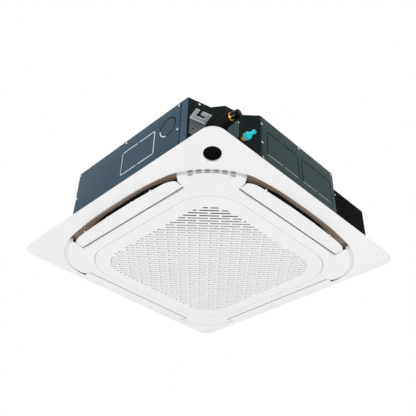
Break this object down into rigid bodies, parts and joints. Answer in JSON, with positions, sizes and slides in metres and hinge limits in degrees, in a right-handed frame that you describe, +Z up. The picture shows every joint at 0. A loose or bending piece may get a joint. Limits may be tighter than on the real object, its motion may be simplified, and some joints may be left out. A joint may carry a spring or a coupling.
{
  "type": "ceiling cassette air conditioner",
  "caption": "Square indoor air conditioner for a ceiling: sheet-metal casing with coil, fan and pipes over a white panel with a central intake grille and tilting vanes at its edges.",
  "frame": {"origin": "middle of the outer face of the intake grille, the lowest face of the panel", "axes": "+Z up into the ceiling, +X towards the side where the refrigerant pipes leave, -Y towards the edge of the intake grille that swings down"},
  "size_m": [0.95, 0.95, 0.309],
  "materials": {
    "slate_sheet": "satin slate-blue coating",
    "zinc_sheet": "galvanised",
    "foam": "moulded bead foam",
    "fin_aluminium": "bare thin fins",
    "copper": "drawn copper",
    "black_foam": "soft closed-cell foam",
    "brass": "turned",
    "black_plastic": "smooth",
    "teal_plastic": "smooth",
    "white_plastic": "fine satin moulding",
    "steel": "zinc plated",
    "black_sheet": "satin",
    "circuit_green": "lacquered board",
    "grey_plastic": "plain moulding"
  },
  "bodies": {
    "unit": {"top_plate": "slate_sheet", "side_wall_front": "slate_sheet", "side_wall_right": "slate_sheet", "side_wall_rear": "slate_sheet", "side_wall_left": "slate_sheet", "corner_plate_rear_right": "slate_sheet", "corner_plate_rear_left": "slate_sheet", "corner_plate_front_left": "slate_sheet", "pipe_corner_plate": "slate_sheet", "pipe_cover_plate": "slate_sheet", "hanger_bracket_1": "zinc_sheet", "hanger_bracket_2": "zinc_sheet", "hanger_bracket_3": "zinc_sheet", "hanger_bracket_4": "zinc_sheet", "coil_end_plate_1": "zinc_sheet", "coil_end_plate_2": "zinc_sheet", "foam_liner": "foam", "drain_pan": "foam", "evaporator_coil": "fin_aluminium", "gas_pipe": "copper", "liquid_pipe": "copper", "gas_pipe_insulation": "black_foam", "liquid_pipe_insulation": "black_foam", "panel_seal": "black_foam", "gas_flare_nut": "brass", "liquid_flare_nut": "brass", "gas_pipe_cap": "black_plastic", "drain_hose": "black_plastic", "terminal_block": "black_plastic", "sensor_window": "black_plastic", "liquid_pipe_cap": "teal_plastic", "bell_mouth": "white_plastic", "drain_pump": "white_plastic", "drain_socket": "white_plastic", "float_guide": "white_plastic", "panel_outer_frame": "white_plastic", "panel_centre_frame": "white_plastic", "fan_motor": "steel", "hinge_pin_1": "steel", "hinge_pin_2": "steel", "electrical_box": "black_sheet", "electrical_box_cover": "black_sheet", "control_board": "circuit_green", "sensor_board": "circuit_green", "vane_motor_1": "grey_plastic", "vane_motor_2": "grey_plastic", "vane_motor_3": "grey_plastic", "vane_motor_4": "grey_plastic"},
    "rotor": {"turbo_fan": "white_plastic", "fan_nut": "steel", "motor_shaft": "steel"},
    "float_body": {"float": "black_plastic"},
    "door": {"intake_grille": "white_plastic", "air_filter": "grey_plastic"},
    "latch_1": {"grille_latch_1": "grey_plastic"},
    "latch_2": {"grille_latch_2": "grey_plastic"},
    "vane_body_1": {"vane_1": "white_plastic"},
    "vane_body_2": {"vane_2": "white_plastic"},
    "vane_body_3": {"vane_3": "white_plastic"},
    "vane_body_4": {"vane_4": "white_plastic"}
  },
  "joints": [
    {"name": "fan_spin", "type": "hinge", "parent": "unit", "child": "rotor", "pos_m": [0, 0, 0.2], "axis": [0, 0, 1], "continuous": true},
    {"name": "grille_door", "type": "hinge", "parent": "unit", "child": "door", "pos_m": [0, 0.33, 0.003], "axis": [1, 0, 0], "range_deg": [0, 90]},
    {"name": "latch_slide_1", "type": "slide", "parent": "door", "child": "latch_1", "axis": [0, -1, 0], "range_m": [0, 0.005]},
    {"name": "latch_slide_2", "type": "slide", "parent": "door", "child": "latch_2", "axis": [0, -1, 0], "range_m": [0, 0.005]},
    {"name": "float_slide", "type": "slide", "parent": "unit", "child": "float_body", "axis": [0, 0, 1], "range_m": [0, 0.012]},
    {"name": "vane_tilt_1", "type": "hinge", "parent": "unit", "child": "vane_body_1", "pos_m": [0.3715, 0, 0.0115], "axis": [0, 1, 0], "range_deg": [-16, 35]},
    {"name": "vane_tilt_2", "type": "hinge", "parent": "unit", "child": "vane_body_2", "pos_m": [0, 0.3715, 0.0115], "axis": [-1, 0, 0], "range_deg": [-16, 35]},
    {"name": "vane_tilt_3", "type": "hinge", "parent": "unit", "child": "vane_body_3", "pos_m": [-0.3715, 0, 0.0115], "axis": [0, -1, 0], "range_deg": [-16, 35]},
    {"name": "vane_tilt_4", "type": "hinge", "parent": "unit", "child": "vane_body_4", "pos_m": [0, -0.3715, 0.0115], "axis": [1, 0, 0], "range_deg": [-16, 35]}
  ]
}
